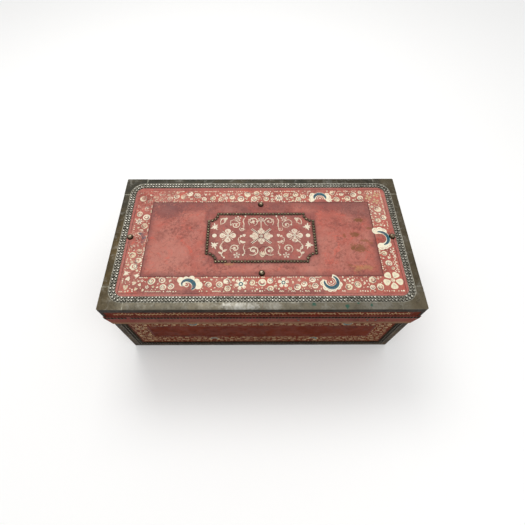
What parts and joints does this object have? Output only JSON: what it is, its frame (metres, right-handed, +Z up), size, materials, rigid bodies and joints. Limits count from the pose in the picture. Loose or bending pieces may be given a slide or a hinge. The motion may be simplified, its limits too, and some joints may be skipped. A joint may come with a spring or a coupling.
{
  "type": "leather-covered chest",
  "caption": "Low rectangular camphorwood chest covered in painted red leather, brass-bound and studded with dome nails, with a hinged lid, dust flap, end handles and lock.",
  "frame": {"origin": "centre of the chest's underside, on the floor", "axes": "+X along the front from left to right, +Y to the hinged back, +Z up"},
  "size_m": [0.8806, 0.469, 0.3308],
  "materials": {
    "camphorwood": "bare, lightly waxed",
    "lid_leather": "painted, worn and faded",
    "side_leather": "painted, darkened",
    "flap_leather": "plain, worn lighter at its lower edge",
    "tarnished_sheet_brass": "tarnished, with verdigris specks",
    "brass_nails": "tarnished, heads rubbed brighter",
    "cast_brass": "aged",
    "lock_iron": "dull"
  },
  "bodies": {
    "chest": {"bottom_board": "camphorwood", "front_board": "camphorwood", "back_board": "camphorwood", "left_end_board": "camphorwood", "right_end_board": "camphorwood", "front_leather": "side_leather", "back_leather": "side_leather", "left_end_leather": "side_leather", "right_end_leather": "side_leather", "corner_strap_front_left": "tarnished_sheet_brass", "corner_strap_front_right": "tarnished_sheet_brass", "corner_strap_back_left": "tarnished_sheet_brass", "corner_strap_back_right": "tarnished_sheet_brass", "base_strip_front": "tarnished_sheet_brass", "base_strip_back": "tarnished_sheet_brass", "base_strip_left": "tarnished_sheet_brass", "base_strip_right": "tarnished_sheet_brass", "body_nails": "brass_nails", "hinge_leaf_body_left": "cast_brass", "hinge_leaf_body_right": "cast_brass", "hinge_pin_left": "cast_brass", "hinge_pin_right": "cast_brass", "handle_posts_left": "cast_brass", "handle_posts_right": "cast_brass", "keyhole_escutcheon": "cast_brass", "lock_case": "lock_iron"},
    "lid": {"lid_board": "camphorwood", "lid_front_rail": "camphorwood", "lid_back_rail": "camphorwood", "lid_left_rail": "camphorwood", "lid_right_rail": "camphorwood", "lid_top_leather": "lid_leather", "lid_front_leather": "side_leather", "lid_back_leather": "side_leather", "lid_left_leather": "side_leather", "lid_right_leather": "side_leather", "front_flap": "flap_leather", "lid_strip_front": "tarnished_sheet_brass", "lid_strip_back": "tarnished_sheet_brass", "lid_strip_left": "tarnished_sheet_brass", "lid_strip_right": "tarnished_sheet_brass", "lid_corner_front_left": "tarnished_sheet_brass", "lid_corner_front_right": "tarnished_sheet_brass", "lid_corner_back_left": "tarnished_sheet_brass", "lid_corner_back_right": "tarnished_sheet_brass", "lid_top_nails": "brass_nails", "cartouche_nails": "brass_nails", "rim_nails": "brass_nails", "lid_bosses": "cast_brass", "hinge_leaf_lid_left": "cast_brass", "hinge_leaf_lid_right": "cast_brass", "lock_staple": "lock_iron"},
    "left_bail": {"bail_left": "cast_brass"},
    "right_bail": {"bail_right": "cast_brass"},
    "bolt": {"lock_bolt": "lock_iron"}
  },
  "joints": [
    {"name": "lid_hinge", "type": "hinge", "parent": "chest", "child": "lid", "pos_m": [0, 0.2309, 0.25975], "axis": [-1, 0, 0], "range_deg": [0, 110]},
    {"name": "left_bail_pivot", "type": "hinge", "parent": "chest", "child": "left_bail", "pos_m": [-0.4328, 0, 0.17], "axis": [0, 1, 0], "range_deg": [-3, 170]},
    {"name": "right_bail_pivot", "type": "hinge", "parent": "chest", "child": "right_bail", "pos_m": [0.4328, 0, 0.17], "axis": [0, -1, 0], "range_deg": [-3, 170]},
    {"name": "lock_bolt_slide", "type": "slide", "parent": "chest", "child": "bolt", "axis": [-1, 0, 0], "range_m": [0, 0.012]}
  ]
}
